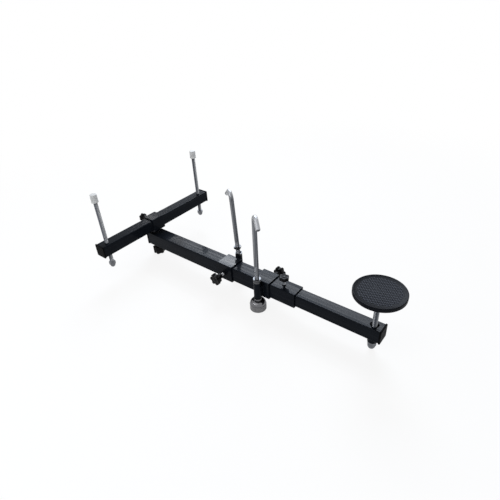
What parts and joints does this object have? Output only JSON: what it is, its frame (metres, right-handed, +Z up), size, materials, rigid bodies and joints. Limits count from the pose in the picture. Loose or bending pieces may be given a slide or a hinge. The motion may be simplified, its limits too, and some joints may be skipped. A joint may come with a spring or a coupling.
{
  "type": "engine support bar",
  "caption": "Telescopic square-tube engine support bar with a swivelling crossbar, screw stabilisers, a round rubber pad and sliding carriers for hooks raised by handwheels.",
  "frame": {"origin": "on the floor, under the middle of the object's box, as pictured", "axes": "+X along the main beam towards the pad, +Y along the crossbar away from the camera, +Z up as pictured; in use the bar is turned over, so that the pad and the nylon caps stand on the vehicle and the hooks hang down"},
  "size_m": [1.0582, 0.531, 0.358],
  "materials": {
    "black_paint": "semi-gloss black stove paint",
    "black_plastic": "fine-grained black plastic",
    "zinc": "bright zinc plate",
    "turned_steel": "turned and plated, with a knurled rim",
    "nylon": "natural white nylon",
    "rubber": "moulded black rubber"
  },
  "bodies": {
    "main_beam": {"outer_beam": "black_paint", "beam_end_cap": "black_plastic", "lock_boss": "black_paint"},
    "beam_lock": {"lock_knob": "black_plastic", "lock_stud": "zinc"},
    "inner_beam": {"inner_beam": "black_paint", "inner_end_cap": "black_plastic", "spindle_bush": "black_paint"},
    "pad": {"pad_rubber": "rubber", "pad_plate": "black_paint", "pad_hub": "black_paint"},
    "spindle": {"pad_spindle": "zinc", "spindle_clip": "zinc", "spindle_foot": "zinc"},
    "collar": {"collar": "black_paint", "pivot_boss": "black_paint", "pivot_stud": "zinc", "pivot_washer": "zinc", "collar_boss": "black_paint"},
    "pivot_knob": {"pivot_knob": "black_plastic", "pivot_insert": "zinc", "clamp_washer": "zinc"},
    "collar_lock": {"collar_knob": "black_plastic", "collar_stud": "zinc"},
    "crossbar": {"crossbar": "black_paint", "screw_nuts": "zinc", "crossbar_cap_near": "black_plastic", "crossbar_cap_far": "black_plastic"},
    "cap_near": {"screw_cap_near": "nylon"},
    "screw_near": {"screw_near": "zinc", "screw_dome_near": "zinc"},
    "cap_far": {"screw_cap_far": "nylon"},
    "screw_far": {"screw_far": "zinc", "screw_dome_far": "zinc"},
    "carrier_a": {"sleeve_a": "black_paint", "guide_a": "black_paint", "guide_ring_a": "zinc", "gussets_a": "black_paint", "clamp_boss_a": "black_paint"},
    "clamp_a": {"clamp_knob_a": "black_plastic", "clamp_stud_a": "zinc"},
    "hook_a": {"hook_a": "zinc", "stop_nut_a": "zinc"},
    "wheel_a": {"handwheel_a": "turned_steel", "wheel_washer_a": "zinc"},
    "carrier_b": {"sleeve_b": "black_paint", "guide_b": "black_paint", "guide_ring_b": "zinc", "gussets_b": "black_paint", "clamp_boss_b": "black_paint"},
    "clamp_b": {"clamp_knob_b": "black_plastic", "clamp_stud_b": "zinc"},
    "hook_b": {"hook_b": "zinc", "stop_nut_b": "zinc"},
    "wheel_b": {"handwheel_b": "turned_steel", "wheel_washer_b": "zinc"}
  },
  "joints": [
    {"name": "beam_extend", "type": "slide", "parent": "main_beam", "child": "inner_beam", "axis": [1, 0, 0], "range_m": [-0.2, 0.18]},
    {"name": "beam_lock_turn", "type": "hinge", "parent": "main_beam", "child": "beam_lock", "pos_m": [0.15613, -0.018, 0.1125], "axis": [0, 0, 1], "range_deg": [0, 360]},
    {"name": "pad_height", "type": "slide", "parent": "inner_beam", "child": "pad", "axis": [0, 0, 1], "range_m": [-0.085, 0]},
    {"name": "spindle_turn", "type": "hinge", "parent": "pad", "child": "spindle", "pos_m": [0.45713, -0.018, 0.0725], "axis": [0, 0, 1], "range_deg": [-15301, 1]},
    {"name": "crossbar_swivel", "type": "hinge", "parent": "main_beam", "child": "collar", "pos_m": [-0.45387, -0.018, 0.1025], "axis": [0, 0, 1], "range_deg": [-45, 45]},
    {"name": "pivot_knob_turn", "type": "hinge", "parent": "collar", "child": "pivot_knob", "pos_m": [-0.45387, -0.018, 0.0325], "axis": [0, 0, -1], "range_deg": [0, 360]},
    {"name": "collar_lock_turn", "type": "hinge", "parent": "collar", "child": "collar_lock", "pos_m": [-0.49388, -0.014, 0.1365], "axis": [-1, 0, 0], "range_deg": [0, 360]},
    {"name": "crossbar_slide", "type": "slide", "parent": "collar", "child": "crossbar", "axis": [0, 1, 0], "range_m": [-0.12, 0.12]},
    {"name": "stabiliser_near_height", "type": "slide", "parent": "crossbar", "child": "cap_near", "axis": [0, 0, 1], "range_m": [-0.12, 0.03]},
    {"name": "stabiliser_near_turn", "type": "hinge", "parent": "cap_near", "child": "screw_near", "pos_m": [-0.45387, -0.232, 0.1725], "axis": [0, 0, 1], "range_deg": [-21601, 5401]},
    {"name": "stabiliser_far_height", "type": "slide", "parent": "crossbar", "child": "cap_far", "axis": [0, 0, 1], "range_m": [-0.12, 0.03]},
    {"name": "stabiliser_far_turn", "type": "hinge", "parent": "cap_far", "child": "screw_far", "pos_m": [-0.45387, 0.232, 0.1725], "axis": [0, 0, 1], "range_deg": [-21601, 5401]},
    {"name": "carrier_a_slide", "type": "slide", "parent": "main_beam", "child": "carrier_a", "axis": [1, 0, 0], "range_m": [-0.1, 0.04]},
    {"name": "clamp_a_turn", "type": "hinge", "parent": "carrier_a", "child": "clamp_a", "pos_m": [-0.06888, -0.078, 0.0725], "axis": [0, -1, 0], "range_deg": [0, 360]},
    {"name": "hook_a_lift", "type": "slide", "parent": "carrier_a", "child": "hook_a", "axis": [-0.0558, 0, 0.9984], "range_m": [-0.016, 0.012]},
    {"name": "handwheel_a_turn", "type": "hinge", "parent": "carrier_a", "child": "wheel_a", "pos_m": [-0.06588, 0.0277, 0.0785], "axis": [-0.0558, 0, 0.9984], "range_deg": [-2161, 2881]},
    {"name": "carrier_b_slide", "type": "slide", "parent": "main_beam", "child": "carrier_b", "axis": [1, 0, 0], "range_m": [-0.04, 0.025]},
    {"name": "clamp_b_turn", "type": "hinge", "parent": "carrier_b", "child": "clamp_b", "pos_m": [0.08662, 0.042, 0.0725], "axis": [0, 1, 0], "range_deg": [0, 360]},
    {"name": "hook_b_lift", "type": "slide", "parent": "carrier_b", "child": "hook_b", "axis": [0, 0, 1], "range_m": [0, 0.012]},
    {"name": "handwheel_b_turn", "type": "hinge", "parent": "carrier_b", "child": "wheel_b", "pos_m": [0.08363, -0.0637, 0.0785], "axis": [0, 0, 1], "range_deg": [-2161, 1]}
  ],
  "couplings": [
    {"joint": "spindle_turn", "follows": "pad_height", "rad_per_m": 3141.6},
    {"joint": "stabiliser_near_turn", "follows": "stabiliser_near_height", "rad_per_m": 3141.6},
    {"joint": "stabiliser_far_turn", "follows": "stabiliser_far_height", "rad_per_m": 3141.6},
    {"joint": "handwheel_a_turn", "follows": "hook_a_lift", "rad_per_m": -3141.6},
    {"joint": "handwheel_b_turn", "follows": "hook_b_lift", "rad_per_m": -3141.6}
  ]
}
